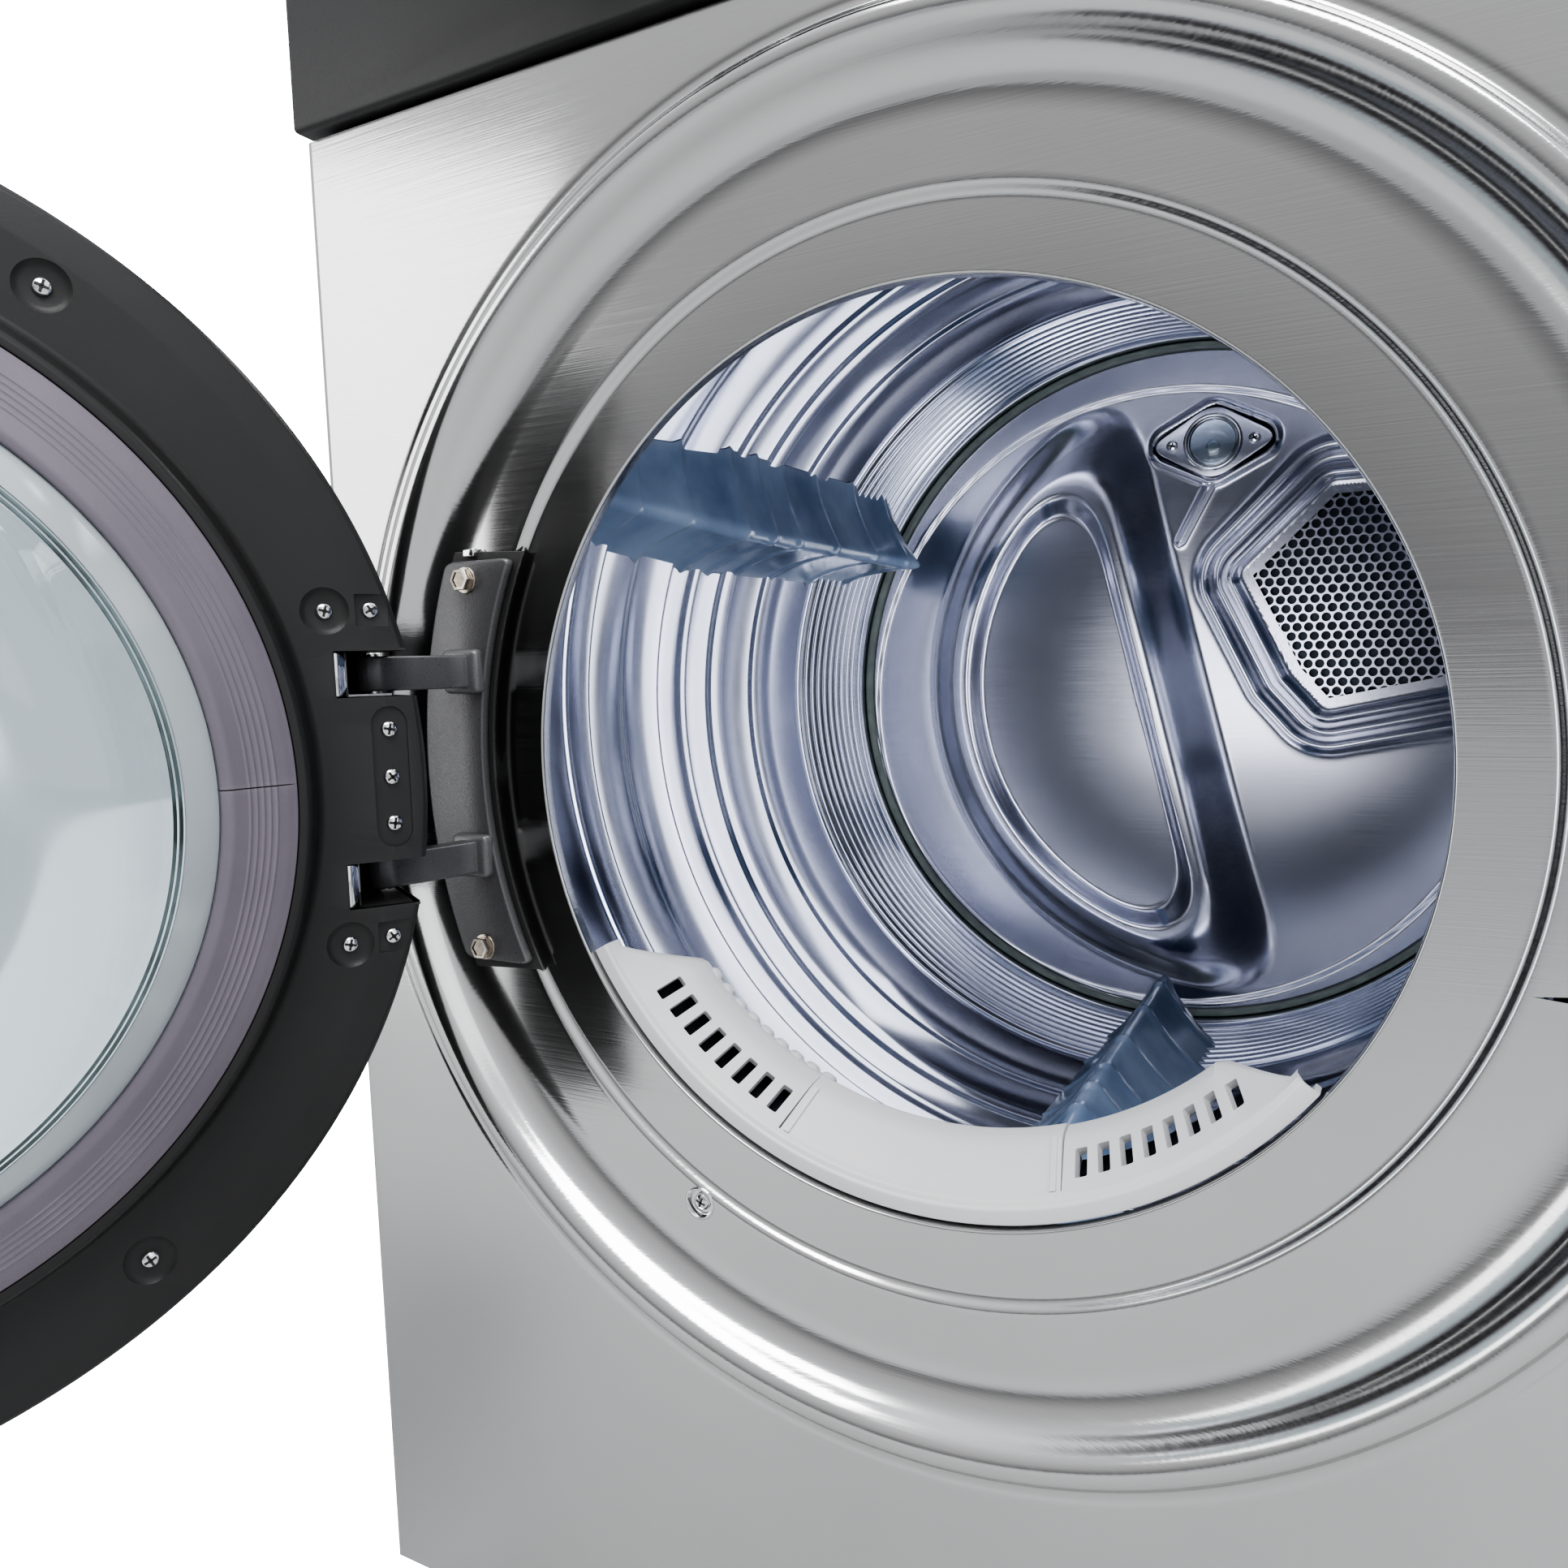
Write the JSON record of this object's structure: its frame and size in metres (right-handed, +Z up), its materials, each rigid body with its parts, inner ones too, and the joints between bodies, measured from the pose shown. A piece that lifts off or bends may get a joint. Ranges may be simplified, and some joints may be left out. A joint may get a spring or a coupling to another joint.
{
  "type": "clothes dryer",
  "caption": "Front-loading clothes dryer with its round door open, drum, lifters, lint filter, drive and exhaust inside a cabinet with levelling feet.",
  "frame": {"origin": "on the floor under the middle of the whole appliance, the open door included", "axes": "+Z up, -Y out of the front where the door is, -X towards the door's hinge"},
  "size_m": [0.909, 1.2813, 0.983],
  "materials": {
    "brushed_steel": "brushed, horizontal grain",
    "drum_steel": "satin stainless, slightly blue",
    "cabinet_paint": "satin graphite paint",
    "galvanized": "galvanized sheet",
    "charcoal_plastic": "satin charcoal",
    "dark_gloss": "black gloss",
    "white_plastic": "satin off-white",
    "lifter_plastic": "satin translucent blue-grey",
    "gasket_rubber": "matt mauve-grey rubber",
    "black_rubber": "matt black rubber",
    "felt": "needle felt",
    "glass": "clear",
    "hinge_paint": "metallic grey paint",
    "yellow_zinc": "yellow zinc plate",
    "chrome": "polished"
  },
  "bodies": {
    "cabinet": {"base_pan": "galvanized", "left_side_panel": "cabinet_paint", "right_side_panel": "cabinet_paint", "top_panel": "cabinet_paint", "rear_panel": "galvanized", "terminal_cover": "galvanized", "front_panel": "brushed_steel", "door_latch": "dark_gloss", "control_fascia": "charcoal_plastic", "display_window": "dark_gloss", "front_bulkhead": "galvanized", "front_drum_felt": "felt", "rear_bulkhead": "drum_steel", "air_inlet_grille": "drum_steel", "drum_lamp_lens": "glass", "rear_drum_felt": "felt", "heater_duct": "galvanized", "heating_element": "galvanized", "lint_filter_cover": "white_plastic", "lint_duct": "galvanized", "blower_housing": "galvanized", "exhaust_duct": "galvanized", "motor": "galvanized", "drum_belt": "black_rubber", "idler_spring": "galvanized", "hinge_bracket": "hinge_paint", "hinge_bolt_upper": "yellow_zinc", "hinge_bolt_lower": "yellow_zinc", "foot_front_left": "black_rubber", "roller_shaft_front_left": "chrome", "foot_front_right": "black_rubber", "roller_shaft_front_right": "chrome", "foot_rear_left": "black_rubber", "roller_shaft_rear_left": "chrome", "foot_rear_right": "black_rubber", "roller_shaft_rear_right": "chrome"},
    "drum": {"drum_shell": "drum_steel", "lifter_1": "lifter_plastic", "lifter_2": "lifter_plastic", "lifter_3": "lifter_plastic"},
    "drive_shaft": {"motor_shaft": "chrome", "blower_wheel": "galvanized"},
    "idler": {"idler_arm": "galvanized"},
    "idler_wheel": {"idler_pulley": "dark_gloss"},
    "door": {"door_inner_cover": "charcoal_plastic", "door_outer_ring": "charcoal_plastic", "door_gasket": "gasket_rubber", "door_glass_bowl": "glass", "door_outer_window": "glass", "door_strike": "chrome", "hinge_carrier": "galvanized", "hinge_pin": "chrome"},
    "filter": {"lint_filter": "white_plastic"},
    "knob": {"control_knob": "chrome"},
    "power": {"power_button": "dark_gloss"},
    "start": {"start_button": "dark_gloss"},
    "roller_front_left": {"roller_front_left": "black_rubber"},
    "roller_front_right": {"roller_front_right": "black_rubber"},
    "roller_rear_left": {"roller_rear_left": "black_rubber"},
    "roller_rear_right": {"roller_rear_right": "black_rubber"}
  },
  "joints": [
    {"name": "door_hinge", "type": "hinge", "parent": "cabinet", "child": "door", "pos_m": [-0.1554, -0.1496, 0.525], "axis": [0, 0, 1], "range_deg": [-8.8, 121.2]},
    {"name": "drum_spin", "type": "hinge", "parent": "cabinet", "child": "drum", "pos_m": [0.1115, 0.2661, 0.543], "axis": [0, 1, 0], "continuous": true},
    {"name": "motor_spin", "type": "hinge", "parent": "cabinet", "child": "drive_shaft", "pos_m": [0.1115, 0.1661, 0.13], "axis": [0, 1, 0], "continuous": true},
    {"name": "idler_swing", "type": "hinge", "parent": "cabinet", "child": "idler", "pos_m": [-0.0085, 0.3321, 0.06], "axis": [0, 1, 0], "range_deg": [-8, 0], "stiffness_Nm_per_rad": 2, "deforming": ["idler_spring"]},
    {"name": "idler_pulley_spin", "type": "hinge", "parent": "idler", "child": "idler_wheel", "pos_m": [0.02679, 0.3511, 0.16305], "axis": [0, 1, 0], "continuous": true},
    {"name": "lint_filter_lift", "type": "slide", "parent": "cabinet", "child": "filter", "axis": [0, 0, -1], "range_m": [-0.25, 0]},
    {"name": "knob_turn", "type": "hinge", "parent": "cabinet", "child": "knob", "pos_m": [-0.0085, -0.1239, 0.9255], "axis": [0, 1, 0], "continuous": true},
    {"name": "power_press", "type": "slide", "parent": "cabinet", "child": "power", "axis": [0, 1, 0], "range_m": [0, 0.002], "stiffness_N_per_m": 400},
    {"name": "start_press", "type": "slide", "parent": "cabinet", "child": "start", "axis": [0, 1, 0], "range_m": [0, 0.002], "stiffness_N_per_m": 400},
    {"name": "roller_front_left_spin", "type": "hinge", "parent": "cabinet", "child": "roller_front_left", "pos_m": [-0.0885, -0.0099, 0.26669], "axis": [0, 1, 0], "continuous": true},
    {"name": "roller_front_right_spin", "type": "hinge", "parent": "cabinet", "child": "roller_front_right", "pos_m": [0.3115, -0.0099, 0.26669], "axis": [0, 1, 0], "continuous": true},
    {"name": "roller_rear_left_spin", "type": "hinge", "parent": "cabinet", "child": "roller_rear_left", "pos_m": [-0.0885, 0.5381, 0.26669], "axis": [0, 1, 0], "continuous": true},
    {"name": "roller_rear_right_spin", "type": "hinge", "parent": "cabinet", "child": "roller_rear_right", "pos_m": [0.3115, 0.5381, 0.26669], "axis": [0, 1, 0], "continuous": true}
  ],
  "couplings": [
    {"joint": "motor_spin", "follows": "drum_spin", "ratio": 26.092},
    {"joint": "idler_pulley_spin", "follows": "drum_spin", "ratio": -17.394},
    {"joint": "roller_front_left_spin", "follows": "drum_spin", "ratio": -8.7314},
    {"joint": "roller_front_right_spin", "follows": "drum_spin", "ratio": -8.7314},
    {"joint": "roller_rear_left_spin", "follows": "drum_spin", "ratio": -8.7314},
    {"joint": "roller_rear_right_spin", "follows": "drum_spin", "ratio": -8.7314}
  ]
}
